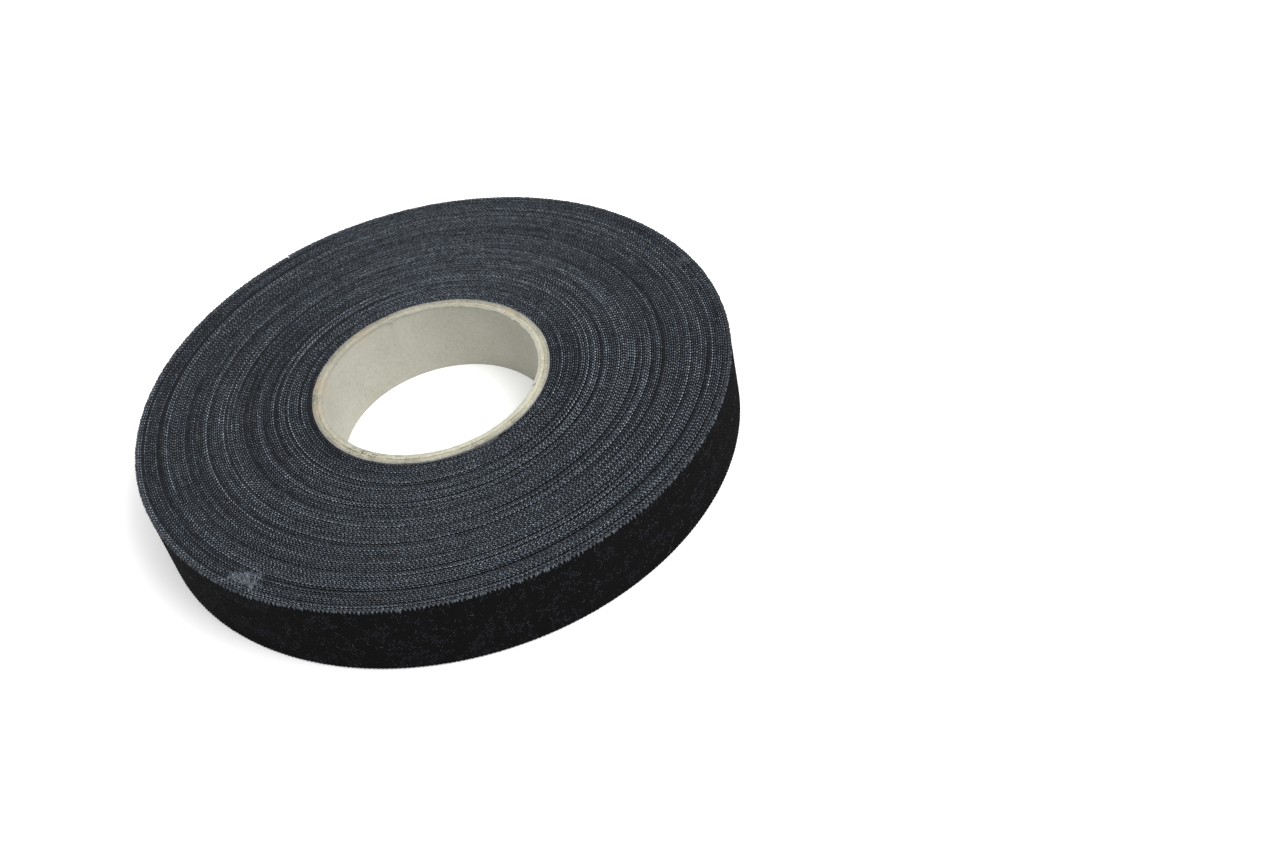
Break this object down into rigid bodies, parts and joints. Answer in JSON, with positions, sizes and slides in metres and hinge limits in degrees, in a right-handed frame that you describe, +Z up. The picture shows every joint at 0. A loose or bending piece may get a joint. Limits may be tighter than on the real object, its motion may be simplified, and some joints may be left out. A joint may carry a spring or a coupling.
{
  "type": "grip tape roll",
  "caption": "Roll of woven cloth grip tape wound on a paperboard core, with a free end that peels off the outside.",
  "frame": {"origin": "centre of the roll's lower face, where it lies on a table", "axes": "+Z up along the roll's axis; +Y towards the back, where the tape's free end lies; +X to the right"},
  "size_m": [0.1096, 0.1098, 0.015],
  "materials": {
    "tape_cloth": "matte",
    "tape_edge": "matte",
    "tape_adhesive": "satin",
    "core_liner": "matte",
    "core_board": "matte",
    "core_wrap": "matte"
  },
  "bodies": {
    "roll": {"core_inner_liner": "core_liner", "core_board_ply_inner": "core_board", "core_board_ply_outer": "core_board", "core_outer_wrap": "core_wrap", "tape_wound_turns": "tape_edge", "outer_turn_cloth": "tape_cloth", "outer_turn_adhesive": "tape_adhesive"},
    "tail_link_1": {"tail_link_1_cloth": "tape_cloth", "tail_link_1_adhesive": "tape_adhesive"},
    "tail_link_2": {"tail_link_2_cloth": "tape_cloth", "tail_link_2_adhesive": "tape_adhesive"},
    "tail_link_3": {"tail_link_3_cloth": "tape_cloth", "tail_link_3_adhesive": "tape_adhesive"},
    "tail_link_4": {"tail_link_4_cloth": "tape_cloth", "tail_link_4_adhesive": "tape_adhesive"},
    "tail_link_5": {"tail_link_5_cloth": "tape_cloth", "tail_link_5_adhesive": "tape_adhesive"}
  },
  "joints": [
    {"name": "tail_peel", "type": "hinge", "parent": "roll", "child": "tail_link_1", "pos_m": [0.02747, 0.04757, 0.0075], "axis": [0, 0, -1], "range_deg": [0, 30]},
    {"name": "tail_curl_2", "type": "hinge", "parent": "tail_link_1", "child": "tail_link_2", "pos_m": [0.01698, 0.05226, 0.0075], "axis": [0, 0, -1], "range_deg": [0, 30]},
    {"name": "tail_curl_3", "type": "hinge", "parent": "tail_link_2", "child": "tail_link_3", "pos_m": [0.00574, 0.05466, 0.0075], "axis": [0, 0, -1], "range_deg": [0, 30]},
    {"name": "tail_curl_4", "type": "hinge", "parent": "tail_link_3", "child": "tail_link_4", "pos_m": [-0.00575, 0.05467, 0.0075], "axis": [0, 0, -1], "range_deg": [0, 30]},
    {"name": "tail_curl_5", "type": "hinge", "parent": "tail_link_4", "child": "tail_link_5", "pos_m": [-0.01699, 0.0523, 0.0075], "axis": [0, 0, -1], "range_deg": [0, 30]}
  ],
  "couplings": [
    {"joint": "tail_curl_2", "follows": "tail_peel", "ratio": 1},
    {"joint": "tail_curl_3", "follows": "tail_peel", "ratio": 1},
    {"joint": "tail_curl_4", "follows": "tail_peel", "ratio": 1},
    {"joint": "tail_curl_5", "follows": "tail_peel", "ratio": 1}
  ]
}
